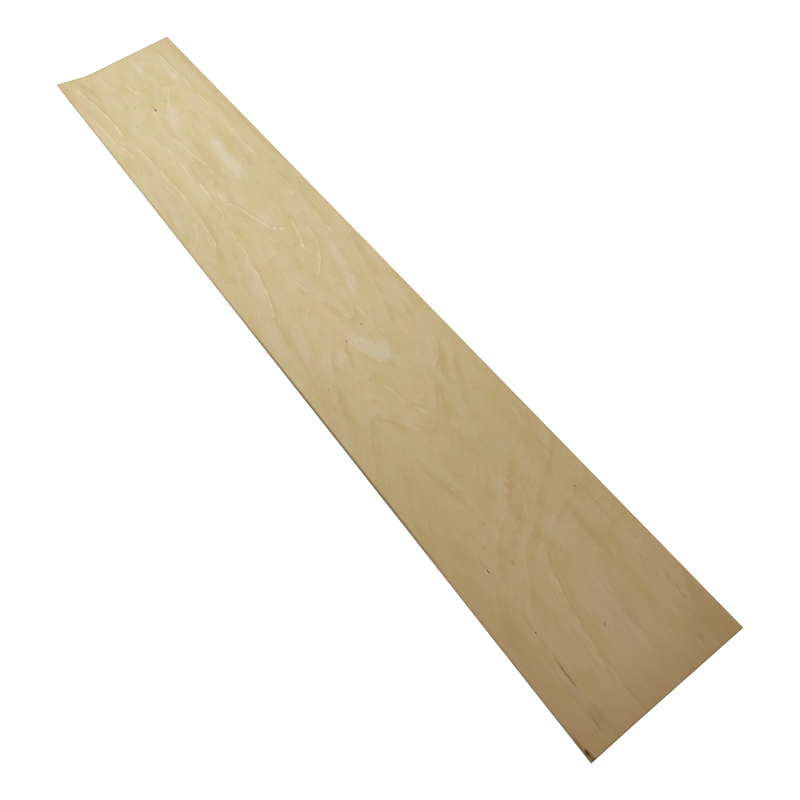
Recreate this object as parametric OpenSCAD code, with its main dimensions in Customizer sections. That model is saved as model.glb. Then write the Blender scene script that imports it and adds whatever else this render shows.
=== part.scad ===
// Thin basswood sheet, lying flat on its underside, with the strip along one long edge bent up a little,
// as thin wide stock warps when it dries.
// The length runs along X with the grain, the width along Y, and the underside of the flat part is at Z = 0.

/* [Sheet] */
// Length along the grain
sheet_length = 1219.2; // [600:0.1:2440]
// Width across the grain, measured round the section as if it were pressed flat
sheet_width = 203.2; // [150:0.1:305]
// Thickness of the stock
sheet_thickness = 1.6; // [0.8:0.1:6.4]
// Leg of the small chamfer that sanding leaves on the long arrises
arris = 0.2; // [0.05:0.05:0.3]

/* [Warp] */
// Width of the straight strip along one edge that has lifted
lifted_width = 43; // [15:1:60]
// Angle that the strip has lifted by
lift_angle = 10.7; // [3:0.1:15]
// Radius of the bend's underside
bend_radius = 100; // [20:1:150]

/* [Hidden] */

// Colour of the sanded face
wood_colour = "#c6b48c";
// Steps that the bend is drawn in
bend_steps = 8;

// The middle of the thickness keeps its length when the wood bends
bend_width = (bend_radius - sheet_thickness / 2) * lift_angle * PI / 180;
flat_width = sheet_width - bend_width - lifted_width;
// Width that the warped sheet covers on the floor
plan_width = flat_width + (bend_radius - arris) * sin(lift_angle) + lifted_width * cos(lift_angle);
flat_edge_y = -plan_width / 2;
bend_y = flat_edge_y + flat_width;

// Point of the section in its flat strip, by its distance from the sawn edge and its height above the underside
function flat_point(from_edge, height) = [flat_edge_y + from_edge, height];

// Point of the section in its bend, by how far the bend has turned there and its height above the underside
function bend_point(turn, height) =
    [bend_y, bend_radius] + (bend_radius - height) * [sin(turn), -cos(turn)];

// Point of the section in its lifted strip, by its distance from the sawn edge and its height above the underside
function lifted_point(from_edge, height) =
    bend_point(lift_angle, height) + (lifted_width - from_edge) * [cos(lift_angle), sin(lift_angle)];

// Section across the grain: along the underside, round the lifted edge, back along the top and down the flat edge
module section() {
    turns = [for (step = [0 : bend_steps]) lift_angle * step / bend_steps];
    polygon([
        flat_point(arris, 0),
        for (turn = turns) bend_point(turn, 0),
        lifted_point(arris, 0),
        lifted_point(0, arris),
        lifted_point(0, sheet_thickness - arris),
        lifted_point(arris, sheet_thickness),
        for (turn = turns) bend_point(lift_angle - turn, sheet_thickness),
        flat_point(arris, sheet_thickness),
        flat_point(0, sheet_thickness - arris),
        flat_point(0, arris)
    ]);
}

// The whole sheet: its section carried along the grain and cut square at both ends
module sheet() {
    color(wood_colour)
        rotate([90, 0, 90])
            linear_extrude(height = sheet_length, center = true)
                section();
}

sheet();
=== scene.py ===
"""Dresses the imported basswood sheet: long, thin, rotary-cut stock with one edge lifted by warping."""

import math
from collections import namedtuple

import bmesh
import bpy
import numpy as np
from bpy.props import FloatProperty, FloatVectorProperty, IntProperty, PointerProperty
from mathutils import Matrix, Vector


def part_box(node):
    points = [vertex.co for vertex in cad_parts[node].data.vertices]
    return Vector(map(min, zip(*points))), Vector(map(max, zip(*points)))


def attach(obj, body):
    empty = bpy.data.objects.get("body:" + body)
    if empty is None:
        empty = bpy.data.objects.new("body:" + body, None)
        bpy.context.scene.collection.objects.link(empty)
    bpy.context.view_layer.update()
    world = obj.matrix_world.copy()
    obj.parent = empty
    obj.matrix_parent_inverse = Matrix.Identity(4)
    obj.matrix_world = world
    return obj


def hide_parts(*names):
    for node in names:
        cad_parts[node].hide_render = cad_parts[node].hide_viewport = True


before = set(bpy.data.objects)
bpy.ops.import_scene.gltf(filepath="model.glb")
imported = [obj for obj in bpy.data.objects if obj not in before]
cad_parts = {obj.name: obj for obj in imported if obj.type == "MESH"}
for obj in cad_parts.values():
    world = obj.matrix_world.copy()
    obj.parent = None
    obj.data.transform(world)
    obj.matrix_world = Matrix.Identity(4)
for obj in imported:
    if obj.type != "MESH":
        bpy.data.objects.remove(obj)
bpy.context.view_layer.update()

bl_info = {
    "name": "Basswood sheet",
    "version": (1, 0, 0),
    "blender": (4, 5, 0),
    "location": "View3D > Sidebar > Basswood",
    "description": "Builds a thin basswood sheet with its growth figure, sawn edges and studio stage",
    "category": "Object",
}

# Millimetres are the working unit of the sheet and its figure, and metres that of Blender.
MM = 0.001
SHEET_LOW, SHEET_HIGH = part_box("sheet")
# Width of the sheet across the grain, measured round its section, in millimetres.
SHEET_WIDTH = 203.2

# Places on the face are in millimetres from its middle: along the grain, and across it towards the lifted
# edge.

# A growth line is where the knife cut through one growth ring, drawn through a few of its points.
GrowthLine = namedtuple("GrowthLine", "ring points")
GROWTH_LINES = (
    GrowthLine(1, ((140, -40), (116, -24), (132, -12), (165, -3), (196, 4), (300, -3), (379, 7), (420, -8),
                   (450, -21), (494, -43), (470, -58), (420, -62), (300, -60))),
    GrowthLine(1, ((-76, 79), (0, 64), (56, 47), (100, 41), (187, 30), (274, 24), (375, 27), (480, 38),
                   (600, 48))),
    GrowthLine(2, ((115, 88), (127, 73), (150, 64), (210, 56), (262, 54), (330, 57), (396, 62), (431, 68),
                   (476, 67), (555, 76))),
    GrowthLine(3, ((330, 87), (367, 77), (397, 77), (416, 85), (487, 89), (570, 96))),
    GrowthLine(0, ((-140, 79), (-91, 64), (-46, 49), (-9, 32), (32, 12), (0, 8), (-40, -6), (-66, -11),
                   (-55, -25), (-31, -37), (0, -52), (34, -61), (124, -77), (300, -72), (446, -71),
                   (495, -70), (581, -68))),
    GrowthLine(-1, ((-200, 85), (-150, 66), (-100, 42), (-90, 12), (-122, 4), (-145, -6), (-125, -30),
                    (-100, -48), (-50, -65), (0, -78))),
    GrowthLine(-2, ((-260, 90), (-225, 70), (-199, 42), (-220, 30), (-235, 19), (-250, 13), (-240, -25),
                    (-211, -37), (-175, -66), (-148, -78))),
    GrowthLine(-3, ((-330, 92), (-290, 72), (-257, 47), (-287, 39), (-310, 35), (-334, 28), (-320, -5),
                    (-279, -22), (-234, -52), (-196, -71), (-170, -88))),
    GrowthLine(-4, ((-470, 85), (-430, 58), (-403, 34), (-377, -3), (-350, -30), (-321, -69), (-300, -88))),
    GrowthLine(-5, ((-610, 66), (-553, 64), (-489, 60), (-452, 32), (-415, -7), (-395, -25), (-370, -60),
                    (-345, -90))),
    GrowthLine(-6, ((-610, 28), (-549, 27), (-508, 21), (-478, 14), (-441, 2), (-425, -20), (-410, -55),
                    (-400, -90))),
    GrowthLine(-7, ((-610, -20), (-549, -22), (-500, -28), (-470, -45), (-455, -80))),
)
# Growth lines run with the grain, so the field through them is worked out with the length drawn in.
FIGURE_STRETCH = 2.0
# How far the field may miss the lines' points, so that it stays smooth.
FIGURE_SMOOTHING = 40.0
# Narrowest and widest spacing of the rings on the face that a band's width is worked out for.
SPACING_LIMITS = (12.0, 120.0)

# A sway pushes the rings to and fro by noise with patches of a size in millimetres.
Sway = namedtuple("Sway", "along across rings")
RING_SWAYS = (Sway(90, 14, 0.2), Sway(20, 5, 0.08), Sway(8, 3, 0.06))
# Fainter lines lie between the growth lines. Real ones are finer: these are coarse enough to show.
HAIRLINES_PER_RING = 4
HAIRLINE_SWAYS = (Sway(50, 12, 2.0), Sway(16, 5, 0.5))
# How far the figure moves along and across the face for each millimetre down into the wood, so that the
# underside shows a figure of its own.
FIGURE_SLANT = (40.0, -22.0, 0.0)

# A mark is a soft oval on the face, turned by its tilt in degrees, at a strength from 0 to 1.
Mark = namedtuple("Mark", "along across half_length half_width tilt strength")
# A stroke is a soft line on the face, of a width in millimetres, through a few points.
Stroke = namedtuple("Stroke", "width strength points")

# Pale patches of silver grain: partly paler wood and partly painted sheen where the grain catches the light.
SILVER_PATCHES = (
    Mark(286, -33, 48, 11, 0, 0.9),
    Mark(262, -37, 42, 6, -2, 0.7),
    Mark(318, -36, 30, 10, 3, 0.9),
    Mark(570, -24, 32, 6, 0, 0.65),
    Mark(524, -62, 38, 5, 0, 0.7),
    Mark(425, -14, 34, 12, -25, 0.5),
    Mark(143, -17, 26, 9, 20, 0.5),
    Mark(228, 12, 26, 6, 0, 0.4),
    Mark(72, -28, 8, 4, 0, 0.8),
    Mark(51, 62, 24, 7, -35, 0.4),
    Mark(190, 74, 28, 7, -28, 0.4),
    Mark(30, -58, 36, 7, -10, 0.3),
    Mark(-17, -45, 30, 7, -25, 0.7),
    Mark(-107, 34, 18, 9, -30, 0.5),
    Mark(-120, -8, 48, 12, 22, 0.75),
    Mark(-142, -17, 24, 12, 20, 0.5),
    Mark(-165, -55, 40, 17, -20, 0.25),
    Mark(-355, -10, 22, 8, -35, 0.45),
    Mark(-325, -38, 22, 11, -45, 0.35),
    Mark(-345, -52, 30, 5, -42, 0.35),
    Mark(-428, -30, 24, 20, 0, 0.45),
    Mark(-520, -12, 64, 26, 0, 0.35),
    Mark(340, 14, 110, 12, 0, 0.3),
    Mark(250, 86, 90, 11, 0, 0.35),
    Mark(-40, 85, 40, 11, -15, 0.35),
)
# Silver wood that starts hard on a growth line and fades away from it shows inside these marks.
SILVER_WEDGES = (
    Mark(-20, -2, 44, 20, 15, 0.5),
    Mark(-118, -6, 48, 26, 10, 1.0),
    Mark(-215, 26, 44, 22, 35, 0.5),
    Mark(-300, 30, 58, 22, 14, 0.55),
    Mark(-392, 20, 44, 24, -42, 0.6),
    Mark(-430, 14, 44, 18, -46, 0.8),
    Mark(-60, 48, 60, 16, -20, 0.6),
    Mark(60, 52, 70, 14, -15, 0.6),
    Mark(60, -52, 60, 16, -20, 0.5),
)
TAN_PATCHES = (
    Mark(565, 64, 48, 6, 8, 0.8),
    Mark(300, -11, 80, 9, 0, 0.5),
    Mark(300, -54, 80, 9, 0, 0.4),
    Mark(515, -14, 34, 14, 0, 0.3),
    Mark(150, 46, 60, 8, -6, 0.3),
    Mark(-120, 77, 48, 7, -18, 0.4),
    Mark(-165, 88, 50, 7, -8, 0.3),
    Mark(-108, 21, 22, 3.4, -27, 1.0),
    Mark(-190, -62, 32, 9, -25, 0.7),
    Mark(-236, -26, 36, 6, -32, 0.5),
    Mark(-250, 6, 16, 7, 60, 0.4),
    Mark(-356, -22, 28, 5, -40, 1.0),
    Mark(-403, 6, 34, 4.5, -48, 0.6),
    Mark(-390, 72, 34, 11, 0, 0.5),
    Mark(-588, 70, 20, 9, 0, 1.0),
    Mark(-500, 90, 170, 24, 0, 0.5),
    Mark(-450, -54, 58, 7, -4, 0.7),
    Mark(-585, -88, 44, 18, 0, 0.6),
)
PINK_PATCHES = (
    Mark(450, 84, 54, 6, 3, 0.9),
    Mark(560, 92, 40, 5, 0, 0.7),
    Mark(135, 74, 20, 7, -38, 0.7),
    Mark(22, 78, 30, 8, -20, 0.4),
    Mark(-30, 22, 40, 10, 0, 0.3),
    Mark(-300, -70, 60, 12, 0, 0.3),
)
PALE_STROKES = (
    Stroke(3.0, 1.0, ((-6, 66), (22, 55), (56, 47), (86, 42.5))),
    Stroke(2.5, 0.6, ((96, 40), (139, 35), (165, 34))),
    Stroke(3.1, 0.95, ((144, 66), (165, 61), (212, 56))),
    Stroke(3.4, 1.0, ((242, 54), (292, 55), (336, 57))),
    Stroke(3.4, 1.0, ((352, 58), (372, 61), (397, 62))),
    Stroke(3.1, 0.85, ((374, 76), (397, 77), (416, 85), (484, 88.5))),
    Stroke(3.4, 1.0, ((427, 69), (472, 67), (506, 69.5), (544, 75), (583, 80))),
    Stroke(2.8, 0.85, ((184, 32), (199, 26), (232, 24.7), (274, 24))),
    Stroke(2.8, 0.85, ((288, 27.5), (337, 25))),
    Stroke(2.5, 0.7, ((350, 26.5), (376, 27))),
    Stroke(3.9, 1.0, ((117, -28), (121, -19), (132, -12), (150, -7), (172, -1.5), (196, 3.5))),
    Stroke(3.1, 0.85, ((198, 6), (210, 11), (240, 13))),
    Stroke(3.4, 0.7, ((292, -3.4), (337, 3), (378, 7))),
    Stroke(3.4, 0.85, ((448, -19), (470, -31), (494, -43))),
    Stroke(2.8, 0.92, ((19, -18), (37, -33), (56, -44))),
    Stroke(2.1, 0.7, ((56, -45), (79, -51), (105, -53))),
    Stroke(3.4, 1.0, ((70, -28), (86, -34), (124, -43))),
    Stroke(2.1, 0.7, ((0, -54), (22, -60), (56, -63))),
    Stroke(2.5, 0.7, ((66, -75), (90, -74), (122, -78))),
    Stroke(2.5, 0.7, ((159, -71), (178, -71))),
    Stroke(2.5, 0.85, ((259, -72), (302, -71))),
    Stroke(3.4, 0.95, ((334, -72), (342, -70), (351, -71))),
    Stroke(2.8, 0.85, ((397, -71), (446, -71))),
    Stroke(2.8, 0.85, ((469, -71.5), (500, -71), (540, -68), (583, -67.5))),
    Stroke(3.4, 0.95, ((508, 3), (522, 6), (541, 10))),
    Stroke(2.3, 0.7, ((-24, -1), (0, 8), (15, 9), (32, 12))),
    Stroke(2.5, 0.6, ((165, 85), (187, 72), (206, 66))),
    Stroke(2.5, 0.5, ((270, 65), (300, 65))),
    Stroke(2.3, 0.7, ((-66, -11), (-47, -7))),
    Stroke(2.3, 0.7, ((-115, -34), (-92, -30), (-51, -29))),
    Stroke(2.3, 0.55, ((-70, -58), (-47, -65), (-25, -69), (-2, -73))),
    Stroke(2.5, 0.7, ((-145, -6), (-122, 3), (-92, 11))),
    Stroke(2.3, 0.55, ((-146, 37), (-137, 25))),
    Stroke(2.5, 0.7, ((-233, -7), (-212, 4), (-167, 13))),
    Stroke(2.3, 0.55, ((-248, 13), (-235, 19), (-220, 30), (-199, 41))),
    Stroke(2.0, 0.5, ((-330, 30), (-310, 35), (-287, 39), (-257, 47))),
    Stroke(2.3, 0.55, ((-190, -48), (-175, -67), (-148, -78))),
    Stroke(2.2, 0.6, ((-400, -11), (-385, -20), (-370, -28), (-360, -30))),
    Stroke(2.0, 0.5, ((-349, -48), (-321, -69))),
    Stroke(2.4, 0.65, ((-582, 28), (-546, 27), (-521, 23.5), (-501, 18.5))),
    Stroke(2.4, 0.75, ((-496, 19), (-482, 14.5), (-460, 8.5), (-441, 2), (-426, -5))),
    Stroke(2.0, 0.55, ((-560, 31.5), (-530, 29), (-500, 24.5), (-474, 17.6), (-452, 8))),
    Stroke(1.3, 0.9, ((-424, 62.2), (-414, 61.8))),
    Stroke(1.3, 0.7, ((-421, 58.4), (-412, 58.2))),
)
BROWN_STROKES = (
    Stroke(2.6, 1.0, ((-558, 66), (-521, 64))),
    Stroke(1.6, 0.3, ((-517, 64), (-496, 63), (-467, 60))),
    Stroke(1.9, 0.6, ((-596, 73.5), (-579, 72))),
    Stroke(1.6, 0.4, ((-594, 78.5), (-587, 78))),
    Stroke(11.0, 0.18, ((-594, 65), (-570, 69), (-545, 73))),
    Stroke(12.0, 0.2, ((-592, -68), (-550, -73))),
    Stroke(2.2, 0.35, ((-526, -84), (-536, -80.5))),
    Stroke(2.4, 0.4, ((-541, -82.5), (-549, -80), (-558, -78.5))),
    Stroke(2.4, 0.35, ((-570, -70), (-576, -66.5), (-580, -69))),
    Stroke(2.6, 0.35, ((-587, -65.5), (-596, -62.5))),
    Stroke(1.8, 0.3, ((-496, -75.5), (-504, -74))),
    Stroke(1.8, 0.3, ((-519, -76), (-527, -74))),
    Stroke(1.8, 0.25, ((-456, -80), (-400, -82))),
    Stroke(1.8, 0.25, ((-370, -83), (-325, -82))),
    Stroke(1.8, 0.3, ((-482, 11), (-455, 3), (-432, -6))),
    Stroke(3.0, 0.2, ((-248, -10), (-228, -24), (-205, -40))),
    Stroke(4.0, 0.16, ((-100, 77), (-60, 70), (-20, 58))),
)
PIN_KNOTS = (
    Mark(456, 0, 3.8, 1.7, 0, 1.0),
    Mark(464, 0.6, 10, 3.4, 0, 0.16),
    Mark(463, -20, 4.0, 1.8, 0, 0.26),
    Mark(444, -41, 4.6, 1.6, 0, 0.2),
    Mark(442, 40, 5.6, 1.7, 24, 0.2),
    Mark(484, 24, 6.6, 1.4, -4, 0.3),
    Mark(402, 29, 4.6, 1.4, 30, 0.16),
    Mark(176, -90, 4.4, 1.4, 0, 0.4),
    Mark(240, -84, 7.0, 1.4, 0, 0.16),
    Mark(81, 87, 4.4, 1.8, 0, 0.25),
    Mark(141, 35, 4.0, 1.1, -8, 0.3),
    Mark(167, 12, 3.4, 1.1, 0, 0.3),
    Mark(214, 12, 4.4, 1.1, 0, 0.22),
    Mark(45, -6, 3.4, 1.1, 0, 0.2),
    Mark(-418, 60.3, 4.6, 1.3, -3, 1.0),
    Mark(-408, 59.5, 9, 2.4, 0, 0.16),
    Mark(-493, 63, 1.6, 1.1, 0, 0.9),
    Mark(-529, 2, 2.4, 0.8, -25, 0.6),
    Mark(-396, 47, 4.0, 0.9, 22, 0.4),
    Mark(-375, 29, 1.8, 1.0, -20, 0.4),
    Mark(-426, 33, 2.2, 1.2, 0, 0.25),
    Mark(-403, -75.5, 1.7, 1.1, 0, 0.7),
    Mark(-482, -86, 1.7, 1.1, 0, 0.35),
    Mark(-326, 58, 1.7, 1.1, 0, 0.25),
    Mark(-281, 54, 1.6, 1.2, 0, 0.3),
    Mark(-295, 85, 1.6, 1.2, 0, 0.35),
    Mark(-161, 79, 1.6, 1.2, 0, 0.55),
    Mark(-158, 69, 1.8, 1.4, 0, 0.45),
    Mark(-155, 66, 1.4, 1.0, 0, 0.4),
    Mark(-137, 69, 1.6, 1.2, 0, 0.55),
    Mark(-154, 21, 2.0, 1.5, 0, 0.4),
    Mark(-90, 12.4, 2.2, 1.2, 0, 0.65),
    Mark(-81, -16.5, 2.6, 1.3, 0, 0.5),
    Mark(-184, -28, 1.7, 1.1, 0, 0.25),
    Mark(-186, -41, 1.7, 1.1, 0, 0.25),
    Mark(-98, -52, 2.2, 1.5, 0, 0.45),
    Mark(-148, -78, 1.7, 1.1, 0, 0.4),
    Mark(-55, -68, 1.6, 1.0, 0, 0.2),
)
BARK_STAINS = (
    Mark(-601, 99, 5.5, 2.2, -4, 1.0),
    Mark(-605, 98.4, 9, 3.4, -6, 0.6),
    Mark(-610, 98, 6, 3.4, -6, 0.8),
    Mark(-591, 99.8, 13, 2.2, 0, 0.4),
)


def linear(code):
    """Turns an sRGB hex colour into the linear values that Blender works in."""
    channels = [int(code[start:start + 2], 16) / 255 for start in (1, 3, 5)]
    return tuple(
        level / 12.92 if level <= 0.04045 else ((level + 0.055) / 1.055) ** 2.4
        for level in channels)


class SheetSettings(bpy.types.PropertyGroup):
    """Sizes of the sheet's section and of its mesh."""
    width: FloatProperty(
        name="Width", description="Width across the grain, measured round the section",
        default=SHEET_WIDTH * MM, unit="LENGTH")
    thickness: FloatProperty(
        name="Thickness", description="Thickness of the stock", default=1.6 * MM, unit="LENGTH")
    arris: FloatProperty(
        name="Arris", description="Leg of the chamfer that sanding leaves on the long corners",
        default=0.2 * MM, unit="LENGTH")
    lifted_width: FloatProperty(
        name="Lifted width", description="Width of the straight strip along one edge that has lifted",
        default=43 * MM, unit="LENGTH")
    lift_angle: FloatProperty(
        name="Lift angle", description="Angle that the strip has lifted by",
        default=math.radians(10.7), subtype="ANGLE")
    bend_radius: FloatProperty(
        name="Bend radius", description="Radius of the bend's underside", default=100 * MM, unit="LENGTH")
    rings_in_thickness: FloatProperty(
        name="Rings in the thickness", description="Growth rings between the face and the underside",
        default=0.5)
    stations: IntProperty(
        name="Stations", description="Mesh strips along the grain", default=480, min=2)
    strips: IntProperty(
        name="Strips", description="Mesh strips across the face", default=84, min=2)


def colour_property(name, description, code):
    """A colour that a user can change, with its default given as an sRGB hex value."""
    return FloatVectorProperty(name=name, description=description, subtype="COLOR", size=3, min=0, max=1,
                               default=linear(code))


class WoodColours(bpy.types.PropertyGroup):
    """Colours of the sanded basswood."""
    sapwood: colour_property("Sapwood", "Cream wood of the far end", "#d3c49c")
    # The near, tan and middle tints darken the wood towards the near end: partly browner wood and partly
    # painted shade of light falling off towards it.
    near_tint_and_shade: colour_property("Near tint", "What the near end keeps of the other colours", "#d9c7bb")
    tan_tint_and_shade: colour_property("Tan tint", "What the tan near half keeps of the other colours", "#ddd5c6")
    middle_tint_and_shade: colour_property("Middle tint", "What the middle keeps of the other colours", "#efece8")
    pink: colour_property("Pink bloom", "Pinkish wood", "#dabd99")
    olive: colour_property("Olive bloom", "Yellow-green wood", "#c9bb82")
    tan: colour_property("Late wood", "Darker wood that ends each growth ring", "#c0a674")
    # Silver is partly paler wood and partly painted sheen where the grain catches the light.
    silver: colour_property("Silver grain", "Pale lilac wood where a ring is cut almost flat", "#dcd2be")
    line: colour_property("Growth line", "Pale line where a new ring starts", "#ebdfb8")
    streak: colour_property("Streak", "Brown mineral streaks", "#6b4a1e")
    knot: colour_property("Pin knot", "Dark heart of a pin knot", "#5c3c00")
    stain: colour_property("Bark stain", "Brown stain that bark has left at one corner", "#4c2e00")
    # The rim is painted shade: a dark line on the face along its cut edges, standing for the shadowed edges
    # and the shadow under the lifted edge.
    rim: colour_property("Rim", "Dulled wood right along the cut edges of the face", "#544a38")
    # The sawn edge's colour is partly darker sawn wood and partly painted shade, so that the long edges read
    # as a dark shadowed line.
    sawn_edge_and_shade: colour_property("Sawn edge", "Long edges, sawn and darkened", "#463a2a")
    end_grain: colour_property("End grain", "Ends, cut across the fibres", "#a68a5c")


class StageSettings(bpy.types.PropertyGroup):
    """Floor, lamps and world around the sheet."""
    floor_size: FloatProperty(
        name="Floor size", description="Side of the square floor", default=12.0, unit="LENGTH")
    floor_colour: colour_property("Floor", "Matt white floor, as it lights what lies on it", "#efeeec")
    floor_gain: FloatProperty(
        name="Floor gain", description="How much whiter the floor looks than it lights", default=2.4)
    spot_power: FloatProperty(
        name="Spotlight power", description="Power of the spotlight over the near end",
        default=400.0, unit="POWER")
    spot_radius: FloatProperty(
        name="Spotlight radius", description="Radius of the spotlight's face", default=0.15, unit="LENGTH")
    spot_cone: FloatProperty(
        name="Spotlight cone", description="Angle across the spotlight's soft cone",
        default=math.radians(46), subtype="ANGLE")
    sky: FloatProperty(
        name="Sky", description="Even white light from all round", default=0.5)


def add_node(tree, kind, inputs=None, **settings):
    """Adds a node and makes its settings. An input that is a socket or a node is linked, any other is set."""
    node = tree.nodes.new(kind)
    for name, value in settings.items():
        setattr(node, name, value)
    for name, value in (inputs or {}).items():
        if isinstance(value, bpy.types.Node):
            value = value.outputs[0]
        if isinstance(value, bpy.types.NodeSocket):
            tree.links.new(value, node.inputs[name])
        else:
            node.inputs[name].default_value = value
    return node


# A Map Range node that eases in and out, and so needs no clamp.
SMOOTH = {"interpolation_type": "SMOOTHSTEP", "clamp": False}
# A mark is even out to its core and its halo ends at its rim, as shares of the way to its outline.
MARK_CORE = 0.25
HALO_RIM = 2.0
# Numbers of a colour Mix node's sockets, whose names it shares with its other kinds of value.
MIX_SHARE, MIX_BASE, MIX_LAYER, MIX_RESULT = 0, 6, 7, 2


# The growth figure

# Least squared distance and least slope that the field is worked out with.
LEAST_SQUARE = 1e-9
LEAST_SLOPE = 1e-6


def spline_kernel(squares):
    """Thin-plate kernel of squared distances."""
    return squares * np.log(np.maximum(squares, LEAST_SQUARE)) / 2


class GrowthField:
    """Smooth field of growth rings over the face: a thin-plate spline through the growth lines' points."""

    def __init__(self):
        points = [(*point, line.ring) for line in GROWTH_LINES for point in line.points]
        table = np.array(points, float)
        self.knots = table[:, :2] / (FIGURE_STRETCH, 1)
        count = len(self.knots)
        # The spline stands on a plane, which has a level and two slopes.
        size = count + 3
        system = np.zeros((size, size))
        gaps = self.knots[:, None] - self.knots[None]
        system[:count, :count] = spline_kernel((gaps ** 2).sum(-1)) + FIGURE_SMOOTHING * np.eye(count)
        system[:count, count] = 1
        system[:count, count + 1:] = self.knots
        system[count:, :count] = system[:count, count:].T
        answer = np.linalg.solve(system, np.concatenate([table[:, 2], np.zeros(size - count)]))
        self.weights, self.level, self.slope = answer[:count], answer[count], answer[count + 1:]

    def rings_and_spacing(self, along, across):
        """Ring level at each place, and the spacing of the rings on the face there, in millimetres."""
        places = np.stack([along / FIGURE_STRETCH, across], -1)
        gaps = places[:, None] - self.knots[None]
        squares = (gaps ** 2).sum(-1)
        rings = spline_kernel(squares) @ self.weights + self.level + places @ self.slope
        pull = (np.log(np.maximum(squares, LEAST_SQUARE)) + 1) * self.weights
        slopes = (pull[..., None] * gaps).sum(1) + self.slope
        steepness = np.hypot(slopes[:, 0] / FIGURE_STRETCH, slopes[:, 1])
        return rings, np.clip(1 / np.maximum(steepness, LEAST_SLOPE), *SPACING_LIMITS)


# The sheet's mesh

# Numbers of the sheet's material slots.
FACE, EDGE, END = 0, 1, 2
# Faces that meet at more than this angle keep a crisp edge.
CRISP_ANGLE = math.radians(25)
# Mesh points whose rings are worked out at a time.
FIELD_BATCH = 2000


def section_loop(settings):
    """Points round the section: distance from the flat edge and height over the underside, in metres.

    They run over the face, down the lifted edge, back along the underside and up the flat edge.
    """
    inner = np.linspace(settings.arris, settings.width - settings.arris, settings.strips + 1)
    low, high = settings.arris, settings.thickness - settings.arris
    top = np.full(len(inner), settings.thickness)
    underside = np.zeros(len(inner))
    across = np.concatenate([inner, [settings.width] * 2, inner[::-1], [0, 0]])
    height = np.concatenate([top, [high, low], underside, [low, high]])
    return across, height


def warped_place(settings, across, height):
    """Where a point of the section lies once the strip has lifted, as y and z in metres."""
    middle_radius = settings.bend_radius - settings.thickness / 2
    bend_width = middle_radius * settings.lift_angle
    flat_width = settings.width - bend_width - settings.lifted_width
    turn = np.clip((across - flat_width) / middle_radius, 0, settings.lift_angle)
    climb = np.maximum(across - flat_width - bend_width, 0)
    reach = settings.bend_radius - height
    y = SHEET_LOW.y + np.minimum(across, flat_width) + reach * np.sin(turn) + climb * np.cos(turn)
    z = settings.bend_radius - reach * np.cos(turn) + climb * np.sin(turn)
    return y, z


def sheet_faces(stations, strips):
    """Faces of the sheet as numbers of its points, and the material slot of each.

    The points go round the section at each station in turn: over the face, down the lifted edge by two
    points, back along the underside and up the flat edge by two points.
    """
    under_start = strips + 3
    under_end = under_start + strips
    loop_size = under_end + 3

    def corner(station, point):
        return station * loop_size + point % loop_size

    faces = []
    slots = []
    for station in range(stations):
        for point in range(loop_size):
            faces.append((corner(station, point), corner(station + 1, point),
                          corner(station + 1, point + 1), corner(station, point + 1)))
            on_face = point < strips or under_start <= point < under_end
            slots.append(FACE if on_face else EDGE)
    for station in (0, stations):
        for point in range(strips):
            under = under_end - point
            faces.append((corner(station, point), corner(station, point + 1),
                          corner(station, under - 1), corner(station, under)))
        faces.append(tuple(corner(station, point) for point in range(strips, under_start + 1)))
        faces.append(tuple(corner(station, point) for point in range(under_end, loop_size + 1)))
    slots += [END] * (len(faces) - len(slots))
    return faces, slots


def keep_figure(mesh, settings, stations, across, height):
    """Keeps the place in the wood, the growth rings and their spacing at every vertex, in millimetres."""
    along_mm = np.repeat(stations / MM, len(across))
    across_mm = np.tile((across - settings.width / 2) / MM, len(stations))
    depth_mm = np.tile((height - settings.thickness) / MM, len(stations))
    field = GrowthField()
    rings = np.empty(len(along_mm))
    spacing = np.empty(len(along_mm))
    for first in range(0, len(along_mm), FIELD_BATCH):
        batch = slice(first, first + FIELD_BATCH)
        rings[batch], spacing[batch] = field.rings_and_spacing(along_mm[batch], across_mm[batch])
    rings -= depth_mm * MM / settings.thickness * settings.rings_in_thickness
    places = np.stack([along_mm, across_mm, depth_mm], -1).ravel()
    mesh.attributes.new("wood_place", "FLOAT_VECTOR", "POINT").data.foreach_set("vector", places)
    mesh.attributes.new("growth_rings", "FLOAT", "POINT").data.foreach_set("value", rings)
    mesh.attributes.new("ring_spacing", "FLOAT", "POINT").data.foreach_set("value", spacing)


def sheet_mesh(settings):
    """Mesh of the whole sheet, with its growth figure kept at every vertex."""
    across, height = section_loop(settings)
    y, z = warped_place(settings, across, height)
    stations = np.linspace(SHEET_LOW.x, SHEET_HIGH.x, settings.stations + 1)
    points = np.empty((len(stations), len(across), 3))
    points[..., 0] = stations[:, None]
    points[..., 1] = y
    points[..., 2] = z
    faces, slots = sheet_faces(settings.stations, settings.strips)
    mesh = bpy.data.meshes.new("basswood_sheet")
    mesh.from_pydata(points.reshape(-1, 3), [], faces)
    mesh.polygons.foreach_set("material_index", slots)
    work = bmesh.new()
    work.from_mesh(mesh)
    bmesh.ops.recalc_face_normals(work, faces=work.faces)
    work.to_mesh(mesh)
    work.free()
    mesh.polygons.foreach_set("use_smooth", [True] * len(mesh.polygons))
    mesh.set_sharp_from_angle(angle=CRISP_ANGLE)
    keep_figure(mesh, settings, stations, across, height)
    return mesh


# The materials

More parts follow.
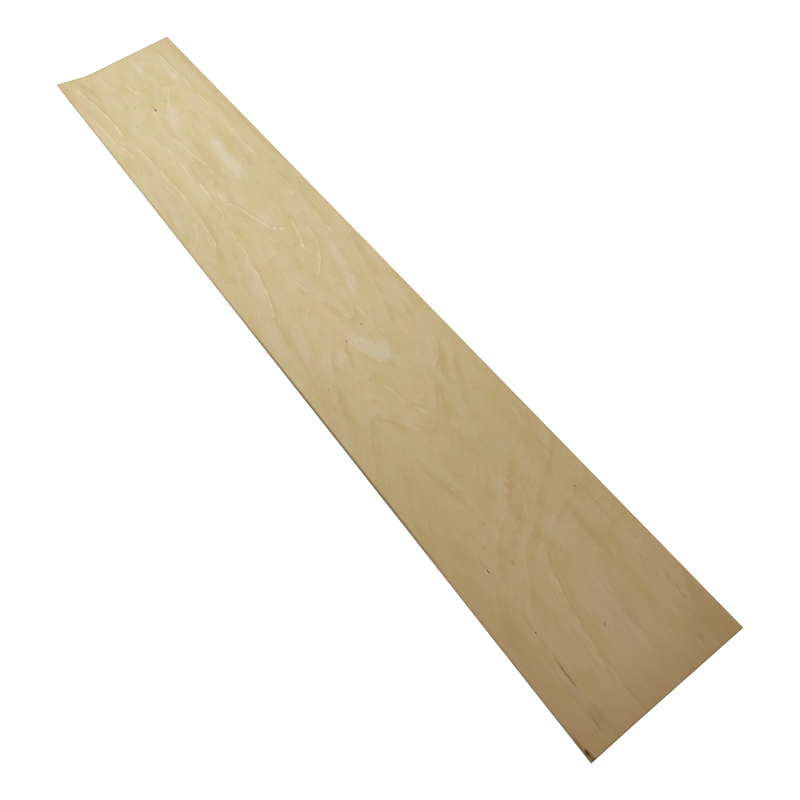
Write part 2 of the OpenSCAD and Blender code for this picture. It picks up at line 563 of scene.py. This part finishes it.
# Noise drawn out along the grain: the size of its patches in millimetres, its detail, and a shift that
# tells it from the others.
Grain = namedtuple("Grain", "along across detail shift", defaults=(2.0, 0.0))
GRAIN_ROUGHNESS = 0.55
PINK_BLOOM = Grain(56, 22, shift=1.0)
OLIVE_BLOOM = Grain(56, 22, shift=5.0)
LATE_SHOWING = Grain(80, 26, shift=7.0)
SILVER_SHOWING = Grain(80, 26, shift=3.0)
MOTTLE = Grain(28, 12, detail=1.0, shift=9.0)
HAIRLINE_GAPS = Grain(40, 12, shift=11.0)
PALE_LINE_GAPS = Grain(14, 3, shift=4.0)
EDGE_WEAR = Grain(60, 8)
END_RINGS = Grain(40, 7)
# Fibres, saw lines and pores are too fine to show, so they are drawn many times coarser than real ones.
FIBRES = Grain(36, 1.2, detail=3.0, shift=2.0)
SAW_LINES = Grain(30, 0.5, detail=3.0)
PORES = Grain(5, 0.35, detail=3.0)

# Inputs of the Map Range nodes that turn noise, which runs from 0 to 1, into masks, shades and roughness.
BLOOM_LIMITS = {"From Min": 0.42, "From Max": 0.68}
MOTTLE_LIMITS = {"From Min": 0.3, "From Max": 0.7, "To Min": -1.0, "To Max": 1.0}
HAIRLINE_LIMITS = {"From Min": 0.42, "From Max": 0.62}
PALE_LINE_LIMITS = {"From Min": 0.36, "From Max": 0.58, "To Min": 0.25}
EDGE_WEAR_LIMITS = {"From Min": 0.5, "From Max": 0.7}
END_RING_LIMITS = {"From Min": 0.4, "From Max": 0.65}
SAW_LINE_LIMITS = {"From Min": 0.4, "From Max": 0.7}
PORE_LIMITS = {"From Min": 0.45, "From Max": 0.7}
FIBRE_SHADE = {"From Min": 0.25, "From Max": 0.75, "To Min": 0.97, "To Max": 1.03}
FIBRE_ROUGHNESS = {"From Min": 0.25, "From Max": 0.75, "To Min": 0.72, "To Max": 0.58}

# Inputs of the Map Range nodes that fade a colour in or out over a stretch of the face, in millimetres.
# The lifted edge's fade, kept off the far end, lays painted shade over the tilted lifted strip.
LIFTED_EDGE = {"From Min": 50.0, "From Max": 104.0}
NOT_FAR_END = {"From Min": 330.0, "From Max": 60.0, "To Min": 0.1}
FLAT_EDGE = {"From Min": -72.0, "From Max": -100.0}
FAR_HALF = {"From Min": 40.0, "From Max": 280.0, "To Min": 0.1}
# The near end's darkening is partly tan wood and partly painted shade of light falling off towards it.
NEAR_END = {"From Min": -560.0, "From Max": -615.0}
# Fresh wood takes over from late wood across a growth line, and both fade away from it.
FRESH_START = {"From Min": -1.2, "From Max": 2.0}
LATE_FADE = {"From Min": -15.0, "From Max": -1.0}
FRESH_FADE = {"From Min": 24.0, "From Max": 1.5}
# A hairline's pale and dull sides fade over these parts of the way to the next one.
PALE_SIDE = {"From Min": 0.4, "From Max": 0.0}
DULL_SIDE = {"From Min": 0.65, "From Max": 1.0}

# Size in millimetres of the patches that push marks about, and how far apart the push can move them.
TORN_PATCHES, TORN_PUSH = (12, 4, 4), (10, 3, 0)
BLURRED_PATCHES, BLURRED_PUSH = (26, 8, 8), (44, 13, 0)
TEAR_DETAIL = 3.0
# A stretch of a stroke is drawn as a mark, whose half sizes are these shares of its length and width.
STRETCH_LENGTH_SHARE = 0.62
STRETCH_WIDTH_SHARE = 0.75
# Where the tints stand along the sheet, as shares of its length from the near end. The tints darken the wood
# towards the near end: partly browner wood and partly painted shade of light falling off towards it.
TAN_SHARE, MIDDLE_SHARE, UNTINTED_SHARE = 0.25, 0.46, 0.85
# How much silver wood shows outside the silver wedges.
SILVER_ANYWHERE = 0.4

# Width in millimetres of the painted shade along each cut edge of the face, and how dark it gets, from 0 to
# 1.
# A real one is finer: these are as wide as they need to be to show.
NEAR_RIM = 1.8
FAR_RIM = 3.4
END_RIM_DEPTH = 0.75
FLAT_RIM = 1.2
FLAT_RIM_DEPTH = 0.5
LIFTED_RIM = 3.4
LIFTED_RIM_DEPTH = 0.75
# The painted shadow along the lifted edge is darkest over its core, and fades along the sheet from its
# darkest stretch.
LIFTED_RIM_CORE = 1.4
LIFTED_RIM_FADES = (
    {"From Min": -430.0, "From Max": -290.0, "To Min": 0.3},
    {"From Min": 140.0, "From Max": -130.0, "To Min": 0.3},
)

# Bare wood is matt and hardly shines.
WOOD_IOR = 1.5
WOOD_ROUGHNESS = 0.65
WOOD_SHINE = 0.12
# Height of the fibres' relief on each cut of the wood, and the strength that it shows at.
FACE_RELIEF = {"Distance": 0.06 * MM, "Strength": 0.5}
EDGE_RELIEF = {"Distance": 0.1 * MM, "Strength": 0.6}
END_RELIEF = {"Distance": 0.1 * MM, "Strength": 0.7}


def grain(tree, place, texture):
    """Even noise drawn out along the grain."""
    size = (texture.along, texture.across, texture.across)
    shift = (texture.shift, texture.shift, texture.shift)
    scaled = add_node(tree, "ShaderNodeVectorMath", {0: place, 1: size}, operation="DIVIDE")
    moved = add_node(tree, "ShaderNodeVectorMath", {0: scaled, 1: shift}, operation="ADD")
    return add_node(tree, "ShaderNodeTexNoise", {
        "Vector": moved, "Scale": 1.0, "Detail": texture.detail, "Roughness": GRAIN_ROUGHNESS})


def ragged(tree, place, patches, push):
    """The place in the wood pushed about by noise, so that what is drawn by it gets a torn outline."""
    torn = add_node(tree, "ShaderNodeVectorMath", {0: place, 1: patches}, operation="DIVIDE")
    noise = add_node(tree, "ShaderNodeTexNoise", {"Vector": torn, "Scale": 1.0, "Detail": TEAR_DETAIL})
    centred = add_node(tree, "ShaderNodeVectorMath", {0: noise.outputs["Color"], 1: (0.5, 0.5, 0.5)},
                       operation="SUBTRACT")
    offset = add_node(tree, "ShaderNodeVectorMath", {0: centred, 1: push}, operation="MULTIPLY")
    return add_node(tree, "ShaderNodeVectorMath", {0: place, 1: offset}, operation="ADD")


def stroke_marks(strokes):
    """Each stretch of each stroke as a long thin mark that reaches a little past its ends."""
    for stroke in strokes:
        for (start_along, start_across), (end_along, end_across) in zip(stroke.points, stroke.points[1:]):
            run, rise = end_along - start_along, end_across - start_across
            yield Mark(
                along=(start_along + end_along) / 2,
                across=(start_across + end_across) / 2,
                half_length=math.hypot(run, rise) * STRETCH_LENGTH_SHARE,
                half_width=stroke.width * STRETCH_WIDTH_SHARE,
                tilt=math.degrees(math.atan2(rise, run)),
                strength=stroke.strength)


def marks(tree, place, group):
    """Mask of a group of marks, each even over its core and fading from there to its outline.

    The second value is below 0 on one side of each mark and above 0 on the other, and fades out round it.
    The nodes of the marks are kept in a node group of their own.
    """
    cluster = bpy.data.node_groups.new("marks", "ShaderNodeTree")
    cluster.interface.new_socket("Place", in_out="INPUT", socket_type="NodeSocketVector")
    for name in ("Mask", "Lean"):
        cluster.interface.new_socket(name, in_out="OUTPUT", socket_type="NodeSocketFloat")
    spot = add_node(cluster, "NodeGroupInput").outputs["Place"]
    mask = lean = 0.0
    for mark in group:
        turn = math.radians(mark.tilt)
        lengthways = Vector((math.cos(turn), math.sin(turn), 0)) / mark.half_length
        sideways = Vector((-math.sin(turn), math.cos(turn), 0)) / mark.half_width
        offset = add_node(cluster, "ShaderNodeVectorMath", {0: spot, 1: (mark.along, mark.across, 0)},
                          operation="SUBTRACT")
        square = 0.0
        for axis in (lengthways, sideways):
            reach = add_node(cluster, "ShaderNodeVectorMath", {0: offset, 1: axis},
                             operation="DOT_PRODUCT").outputs["Value"]
            square = add_node(cluster, "ShaderNodeMath", {0: reach, 1: reach, 2: square},
                              operation="MULTIPLY_ADD")
        oval = add_node(cluster, "ShaderNodeMapRange", {
            "Value": square, "From Min": MARK_CORE ** 2, "From Max": 1.0,
            "To Min": mark.strength, "To Max": 0.0}, **SMOOTH)
        mask = add_node(cluster, "ShaderNodeMath", {0: mask, 1: oval}, operation="MAXIMUM")
        halo = add_node(cluster, "ShaderNodeMapRange", {
            "Value": square, "From Min": MARK_CORE ** 2, "From Max": HALO_RIM ** 2,
            "To Min": mark.strength / HALO_RIM, "To Max": 0.0}, **SMOOTH)
        lean = add_node(cluster, "ShaderNodeMath", {0: halo, 1: reach, 2: lean}, operation="MULTIPLY_ADD")
    add_node(cluster, "NodeGroupOutput", {"Mask": mask, "Lean": lean})
    return add_node(tree, "ShaderNodeGroup", {"Place": place}, node_tree=cluster).outputs


def layered(tree, colour, layers):
    """Lays colours over each other by mask and strength, a negative one where the mask is below zero."""
    for mask, layer, strength in layers:
        share = add_node(tree, "ShaderNodeMath", {0: mask, 1: strength}, operation="MULTIPLY", use_clamp=True)
        mix = add_node(tree, "ShaderNodeMix", {MIX_SHARE: share, MIX_BASE: colour, MIX_LAYER: (*layer, 1.0)},
                       data_type="RGBA")
        colour = mix.outputs[MIX_RESULT]
    return colour


def wood_material(name):
    """A new material with only its output and a principled shader for bare wood."""
    material = bpy.data.materials.new(name)
    material.use_nodes = True
    tree = material.node_tree
    tree.nodes.clear()
    shader = add_node(tree, "ShaderNodeBsdfPrincipled", {
        "IOR": WOOD_IOR, "Roughness": WOOD_ROUGHNESS, "Specular IOR Level": WOOD_SHINE})
    add_node(tree, "ShaderNodeOutputMaterial", {"Surface": shader})
    return material, tree, shader


def swayed(tree, place, rings, sways):
    """Ring levels pushed to and fro by noise, so that what is drawn by them wanders."""
    for sway in sways:
        push = add_node(tree, "ShaderNodeMath", {
            0: grain(tree, place, Grain(sway.along, sway.across)), 1: sway.rings, 2: -sway.rings / 2},
            operation="MULTIPLY_ADD")
        rings = add_node(tree, "ShaderNodeMath", {0: rings, 1: push}, operation="ADD")
    return rings


def growth_bands(tree, rings):
    """Masks of the late wood that ends each growth ring and of the fresh wood that starts the next."""
    spacing = add_node(tree, "ShaderNodeAttribute", attribute_name="ring_spacing").outputs["Fac"]
    nearest = add_node(tree, "ShaderNodeMath", {0: rings}, operation="ROUND")
    past = add_node(tree, "ShaderNodeMath", {0: rings, 1: nearest}, operation="SUBTRACT")
    distance = add_node(tree, "ShaderNodeMath", {0: past, 1: spacing}, operation="MULTIPLY")
    started = add_node(tree, "ShaderNodeMapRange", {"Value": distance, **FRESH_START}, **SMOOTH)
    ended = add_node(tree, "ShaderNodeMath", {0: 1.0, 1: started}, operation="SUBTRACT")
    bands = []
    for side, limits in ((ended, LATE_FADE), (started, FRESH_FADE)):
        fade = add_node(tree, "ShaderNodeMapRange", {"Value": distance, **limits}, **SMOOTH)
        bands.append(add_node(tree, "ShaderNodeMath", {0: fade, 1: side}, operation="MULTIPLY"))
    return bands


def hairlines(tree, place, rings):
    """Faint broken lines between the growth lines: above 0 on the pale side, below 0 on the dull side."""
    lines = add_node(tree, "ShaderNodeMath", {0: rings, 1: HAIRLINES_PER_RING}, operation="MULTIPLY")
    wandering = swayed(tree, place, lines, HAIRLINE_SWAYS)
    part = add_node(tree, "ShaderNodeMath", {0: wandering}, operation="FRACT")
    pale = add_node(tree, "ShaderNodeMapRange", {"Value": part, **PALE_SIDE}, **SMOOTH)
    dull = add_node(tree, "ShaderNodeMapRange", {"Value": part, **DULL_SIDE}, **SMOOTH)
    both = add_node(tree, "ShaderNodeMath", {0: pale, 1: dull}, operation="SUBTRACT")
    gaps = grain(tree, place, HAIRLINE_GAPS)
    broken = add_node(tree, "ShaderNodeMapRange", {"Value": gaps, **HAIRLINE_LIMITS}, **SMOOTH)
    return add_node(tree, "ShaderNodeMath", {0: both, 1: broken}, operation="MULTIPLY")


def length_tint_and_shade(tree, along, colours):
    """Colour that darkens the wood along the sheet, from the near end's tint to none at the far end: partly
    browner wood and partly painted shade of light falling off towards the near end.
    """
    share = add_node(tree, "ShaderNodeMapRange", {
        "Value": along, "From Min": SHEET_LOW.x / MM, "From Max": SHEET_HIGH.x / MM})
    tint = add_node(tree, "ShaderNodeValToRGB", {"Fac": share})
    stops = tint.color_ramp.elements
    stops[0].color = (*colours.near_tint_and_shade, 1)
    for position, colour in ((TAN_SHARE, colours.tan_tint_and_shade), (MIDDLE_SHARE, colours.middle_tint_and_shade),
                             (UNTINTED_SHARE, (1, 1, 1))):
        stops.new(position).color = (*colour, 1)
    return tint


def edge_tans_and_shade(tree, along, across):
    """Masks of the painted shade over the tilted lifted strip, of the tan wood by the flat edge, and of the
    near end's darkening, partly tan wood and partly painted shade.
    """
    masks = []
    for edge, stretch in ((LIFTED_EDGE, NOT_FAR_END), (FLAT_EDGE, FAR_HALF)):
        side = add_node(tree, "ShaderNodeMapRange", {"Value": across, **edge}, **SMOOTH)
        shown = add_node(tree, "ShaderNodeMapRange", {"Value": along, **stretch}, **SMOOTH)
        masks.append(add_node(tree, "ShaderNodeMath", {0: side, 1: shown}, operation="MULTIPLY"))
    masks.append(add_node(tree, "ShaderNodeMapRange", {"Value": along, **NEAR_END}, **SMOOTH))
    return masks


def shaded_rims(tree, along, across):
    """Mask of the painted shade along the cut edges of the face, which stands for the shadowed edges and, by
    the lifted edge, for the shadow under it.
    """
    edge = SHEET_WIDTH / 2
    rim = add_node(tree, "ShaderNodeMapRange", {
        "Value": across, "From Min": edge - LIFTED_RIM, "From Max": edge - LIFTED_RIM_CORE,
        "To Max": LIFTED_RIM_DEPTH})
    for fade in LIFTED_RIM_FADES:
        stretch = add_node(tree, "ShaderNodeMapRange", {"Value": along, **fade}, **SMOOTH)
        rim = add_node(tree, "ShaderNodeMath", {0: rim, 1: stretch}, operation="MULTIPLY")
    for way, cut, width, depth in ((along, SHEET_LOW.x / MM, -NEAR_RIM, END_RIM_DEPTH),
                                   (along, SHEET_HIGH.x / MM, FAR_RIM, END_RIM_DEPTH),
                                   (across, -edge, -FLAT_RIM, FLAT_RIM_DEPTH)):
        edge_shade = add_node(tree, "ShaderNodeMapRange", {
            "Value": way, "From Min": cut - width, "From Max": cut, "To Max": depth})
        rim = add_node(tree, "ShaderNodeMath", {0: rim, 1: edge_shade}, operation="MAXIMUM")
    return rim


def sanded_face(colours):
    """Rotary-cut, sanded basswood: creamy, close and matt, with faint wandering rings and fine fibres."""
    material, tree, shader = wood_material("Basswood, rotary-cut and sanded")
    surface = add_node(tree, "ShaderNodeAttribute", attribute_name="wood_place").outputs["Vector"]
    along, across, depth = add_node(tree, "ShaderNodeSeparateXYZ", {0: surface}).outputs
    slant = add_node(tree, "ShaderNodeVectorMath", {0: FIGURE_SLANT, "Scale": depth}, operation="SCALE")
    place = add_node(tree, "ShaderNodeVectorMath", {0: surface, 1: slant}, operation="ADD")
    torn = ragged(tree, place, TORN_PATCHES, TORN_PUSH)
    blurred = ragged(tree, place, BLURRED_PATCHES, BLURRED_PUSH)
    tint = length_tint_and_shade(tree, along, colours)

    pink, olive, late_shown, silver_shown = [
        add_node(tree, "ShaderNodeMapRange", {"Value": grain(tree, place, bloom), **BLOOM_LIMITS}, **SMOOTH)
        for bloom in (PINK_BLOOM, OLIVE_BLOOM, LATE_SHOWING, SILVER_SHOWING)]
    mottle = add_node(tree, "ShaderNodeMapRange", {"Value": grain(tree, place, MOTTLE), **MOTTLE_LIMITS})
    growth = add_node(tree, "ShaderNodeAttribute", attribute_name="growth_rings").outputs["Fac"]
    rings = swayed(tree, place, growth, RING_SWAYS)
    late, fresh = growth_bands(tree, rings)
    late = add_node(tree, "ShaderNodeMath", {0: late, 1: late_shown}, operation="MULTIPLY")
    shown = add_node(tree, "ShaderNodeMath", {0: silver_shown, 1: SILVER_ANYWHERE}, operation="MULTIPLY")
    wedges = marks(tree, blurred, SILVER_WEDGES)[0]
    shown = add_node(tree, "ShaderNodeMath", {0: shown, 1: wedges}, operation="MAXIMUM")
    fresh = add_node(tree, "ShaderNodeMath", {0: fresh, 1: shown}, operation="MULTIPLY")
    hairs = hairlines(tree, place, rings)
    broken = add_node(tree, "ShaderNodeMapRange", {
        "Value": grain(tree, place, PALE_LINE_GAPS), **PALE_LINE_LIMITS})
    pale, late_and_shaded_side = marks(tree, torn, stroke_marks(PALE_STROKES))
    pale = add_node(tree, "ShaderNodeMath", {0: pale, 1: broken}, operation="MULTIPLY")
    lifted_strip_shade, flat_tan, near_end_tan_and_shade = edge_tans_and_shade(tree, along, across)
    figured = layered(tree, (*colours.sapwood, 1.0), (
        (pink, colours.pink, 0.3),
        (olive, colours.olive, 0.45),
        (mottle, colours.pink, 0.2),
        (mottle, colours.olive, -0.34),
        # Painted shade over the lifted strip, which tilts away from the light.
        (lifted_strip_shade, colours.tan, 0.12),
        (flat_tan, colours.tan, 0.3),
        # Partly tan wood and partly painted shade at the near end.
        (near_end_tan_and_shade, colours.tan, 0.5),
        (late, colours.tan, 0.35),
        (marks(tree, blurred, TAN_PATCHES)[0], colours.tan, 0.45),
        (marks(tree, blurred, PINK_PATCHES)[0], colours.pink, 0.5),
        (fresh, colours.silver, 0.38),
        # Partly paler wood and partly painted sheen.
        (marks(tree, blurred, SILVER_PATCHES)[0], colours.silver, 0.6),
        (hairs, colours.line, 0.16),
        (hairs, colours.tan, -0.22),
        # One side of each pale line is darkened: partly late wood and partly painted shade, so that the line
        # looks raised.
        (late_and_shaded_side, colours.tan, -0.55),
        (pale, colours.line, 0.56),
    ))
    # The tint is partly browner wood and partly painted shade towards the near end.
    deepened_and_shaded = add_node(tree, "ShaderNodeVectorMath", {0: figured, 1: tint}, operation="MULTIPLY")
    rim = shaded_rims(tree, along, across)
    knots, knot_side = marks(tree, torn, PIN_KNOTS)
    marked = layered(tree, deepened_and_shaded.outputs[0], (
        (marks(tree, torn, stroke_marks(BROWN_STROKES))[0], colours.streak, 0.5),
        # Painted shade along the cut edges of the face.
        (rim, colours.rim, 0.95),
        (marks(tree, torn, BARK_STAINS)[0], colours.stain, 0.95),
        (knot_side, colours.line, 0.35),
        (knots, colours.knot, 0.95),
    ))

    fibres = grain(tree, place, FIBRES)
    shade = add_node(tree, "ShaderNodeMapRange", {"Value": fibres, **FIBRE_SHADE})
    fibred = add_node(tree, "ShaderNodeVectorMath", {0: marked, "Scale": shade}, operation="SCALE")
    tree.links.new(fibred.outputs[0], shader.inputs["Base Color"])
    gloss = add_node(tree, "ShaderNodeMapRange", {"Value": fibres, **FIBRE_ROUGHNESS})
    tree.links.new(gloss.outputs[0], shader.inputs["Roughness"])
    bump = add_node(tree, "ShaderNodeBump", {"Height": fibres, **FACE_RELIEF})
    tree.links.new(bump.outputs[0], shader.inputs["Normal"])
    return material


def sawn_edge_and_shade(colours):
    """Basswood sawn along the grain: duller than the face, and darker, partly sawn wood and partly painted
    shade, with long saw and fibre lines.
    """
    material, tree, shader = wood_material("Basswood, sawn along the grain")
    place = add_node(tree, "ShaderNodeAttribute", attribute_name="wood_place").outputs["Vector"]
    lines = grain(tree, place, SAW_LINES)
    worn = grain(tree, place, EDGE_WEAR)
    colour = layered(tree, (*colours.sawn_edge_and_shade, 1.0), (
        (add_node(tree, "ShaderNodeMapRange", {"Value": lines, **SAW_LINE_LIMITS}), colours.tan, 0.4),
        (add_node(tree, "ShaderNodeMapRange", {"Value": worn, **EDGE_WEAR_LIMITS}), colours.tan, 0.3),
        (marks(tree, place, BARK_STAINS)[0], colours.stain, 0.9),
    ))
    tree.links.new(colour, shader.inputs["Base Color"])
    bump = add_node(tree, "ShaderNodeBump", {"Height": lines, **EDGE_RELIEF})
    tree.links.new(bump.outputs[0], shader.inputs["Normal"])
    return material


def end_grain(colours):
    """Basswood cut across the fibres: darker, because light sinks into its pores, with rings on edge."""
    material, tree, shader = wood_material("Basswood, cut across the grain")
    place = add_node(tree, "ShaderNodeAttribute", attribute_name="wood_place").outputs["Vector"]
    pores = grain(tree, place, PORES)
    rings = grain(tree, place, END_RINGS)
    colour = layered(tree, (*colours.end_grain, 1.0), (
        (add_node(tree, "ShaderNodeMapRange", {"Value": pores, **PORE_LIMITS}), colours.streak, 0.4),
        (add_node(tree, "ShaderNodeMapRange", {"Value": rings, **END_RING_LIMITS}), colours.sapwood, 0.35),
        (marks(tree, place, BARK_STAINS)[0], colours.stain, 0.8),
    ))
    tree.links.new(colour, shader.inputs["Base Color"])
    bump = add_node(tree, "ShaderNodeBump", {"Height": pores, **END_RELIEF})
    tree.links.new(bump.outputs[0], shader.inputs["Normal"])
    return material


class BASSWOOD_OT_sheet(bpy.types.Operator):
    """Build the basswood sheet over its solid"""
    bl_idname = "basswood.sheet"
    bl_label = "Build the sheet"

    def execute(self, context):
        colours = context.scene.basswood_colours
        mesh = sheet_mesh(context.scene.basswood_sheet)
        for make in (sanded_face, sawn_edge_and_shade, end_grain):
            mesh.materials.append(make(colours))
        sheet = bpy.data.objects.new("basswood_sheet", mesh)
        context.scene.collection.objects.link(sheet)
        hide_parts("sheet")
        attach(sheet, "root")
        return {"FINISHED"}


# The stage

# The camera stands over the near end, looks at a point on the floor and is rolled about its line of sight.
CAMERA_PLACE = Vector((-575.7, 237.9, 794.5)) * MM
CAMERA_TARGET = Vector((-157.5, 14.7, 0)) * MM
CAMERA_ROLL = math.radians(-9.015)
# Focal length and sensor width are in millimetres, and the shift is in shares of the picture's width.
CAMERA_LENS = 34.54
CAMERA_SENSOR = 36.0
CAMERA_SHIFT = (0.0292, -0.0259)
# The spotlight hangs over the near end on the camera's side, so that the sheet hides its own shadow.
# Its soft cone is aimed at the far end. Both places are in metres.
SPOT_PLACE = Vector((-0.6, 0.8, 4.0))
SPOT_TARGET = Vector((0.6, 0.0, 0.0))


def seen_directly(tree):
    """1 for what the camera sees directly, in a mirror or through glass, and 0 for light on its way."""
    path = add_node(tree, "ShaderNodeLightPath")
    seen = path.outputs["Is Camera Ray"]
    for name in ("Is Glossy Ray", "Is Transmission Ray"):
        seen = add_node(tree, "ShaderNodeMath", {0: seen, 1: path.outputs[name]}, operation="MAXIMUM")
    return seen


def matt_floor(stage):
    """Matt white paint that looks whiter than the light it throws back, so that it stays plain."""
    material = bpy.data.materials.new("Matt white floor paint")
    material.use_nodes = True
    tree = material.node_tree
    tree.nodes.clear()
    bright = tuple(level * stage.floor_gain for level in stage.floor_colour)
    mix = add_node(tree, "ShaderNodeMix", {MIX_SHARE: seen_directly(tree), MIX_BASE: (*stage.floor_colour, 1),
                                           MIX_LAYER: (*bright, 1)}, data_type="RGBA")
    paint = add_node(tree, "ShaderNodeBsdfDiffuse", {"Color": mix.outputs[MIX_RESULT]})
    add_node(tree, "ShaderNodeOutputMaterial", {"Surface": paint})
    return material


class BASSWOOD_OT_stage(bpy.types.Operator):
    """Build the floor, the lamp, the white surroundings and the camera"""
    bl_idname = "basswood.stage"
    bl_label = "Build the stage"

    def execute(self, context):
        stage = context.scene.basswood_stage
        half = stage.floor_size / 2
        mesh = bpy.data.meshes.new("floor")
        corners = [(-half, -half, 0), (half, -half, 0), (half, half, 0), (-half, half, 0)]
        mesh.from_pydata(corners, [], [(0, 1, 2, 3)])
        mesh.materials.append(matt_floor(stage))
        floor = bpy.data.objects.new("floor", mesh)
        context.scene.collection.objects.link(floor)

        spot = bpy.data.lights.new("spotlight", "SPOT")
        spot.energy = stage.spot_power
        spot.shadow_soft_size = stage.spot_radius
        spot.spot_size = stage.spot_cone
        spot.spot_blend = 1.0
        lamp = bpy.data.objects.new("spotlight", spot)
        lamp.location = SPOT_PLACE
        lamp.rotation_euler = (SPOT_TARGET - SPOT_PLACE).to_track_quat("-Z", "Y").to_euler()
        context.scene.collection.objects.link(lamp)

        world = bpy.data.worlds.new("white surroundings")
        context.scene.world = world
        world.use_nodes = True
        tree = world.node_tree
        tree.nodes.clear()
        strength = add_node(tree, "ShaderNodeMapRange", {
            "Value": seen_directly(tree), "To Min": stage.sky, "To Max": 1.0})
        sky = add_node(tree, "ShaderNodeBackground", {"Color": (1, 1, 1, 1), "Strength": strength})
        add_node(tree, "ShaderNodeOutputWorld", {"Surface": sky})

        lens = bpy.data.cameras.new("camera")
        lens.lens = CAMERA_LENS
        lens.sensor_width = CAMERA_SENSOR
        lens.shift_x, lens.shift_y = CAMERA_SHIFT
        camera = bpy.data.objects.new("camera", lens)
        level = (CAMERA_TARGET - CAMERA_PLACE).to_track_quat("-Z", "Y").to_matrix()
        turn = level @ Matrix.Rotation(CAMERA_ROLL, 3, "Z")
        camera.matrix_world = Matrix.Translation(CAMERA_PLACE) @ turn.to_4x4()
        context.scene.collection.objects.link(camera)
        context.scene.camera = camera
        context.scene.view_settings.view_transform = "Standard"
        return {"FINISHED"}


class BASSWOOD_PT_panel(bpy.types.Panel):
    """Lists the sheet's pieces and stage"""
    bl_idname = "BASSWOOD_PT_panel"
    bl_label = "Basswood sheet"
    bl_space_type = "VIEW_3D"
    bl_region_type = "UI"
    bl_category = "Basswood"

    def draw(self, context):
        for operator, group in ((BASSWOOD_OT_sheet, "basswood_sheet"), (BASSWOOD_OT_stage, "basswood_stage")):
            self.layout.operator(operator.bl_idname)
            settings = getattr(context.scene, group)
            for name in settings.__annotations__:
                self.layout.prop(settings, name)
        for name in WoodColours.__annotations__:
            self.layout.prop(context.scene.basswood_colours, name)


GROUPS = {"basswood_sheet": SheetSettings, "basswood_colours": WoodColours, "basswood_stage": StageSettings}
CLASSES = (*GROUPS.values(), BASSWOOD_OT_sheet, BASSWOOD_OT_stage, BASSWOOD_PT_panel)


def register():
    """Registers the classes and gives every scene their settings."""
    for cls in CLASSES:
        bpy.utils.register_class(cls)
    for name, group in GROUPS.items():
        setattr(bpy.types.Scene, name, PointerProperty(type=group))


def unregister():
    """Takes the settings and classes away again."""
    for name in GROUPS:
        delattr(bpy.types.Scene, name)
    for cls in reversed(CLASSES):
        bpy.utils.unregister_class(cls)


def main():
    """Builds the sheet and its stage."""
    register()
    bpy.ops.basswood.sheet()
    bpy.ops.basswood.stage()


if __name__ == "__main__":
    main()
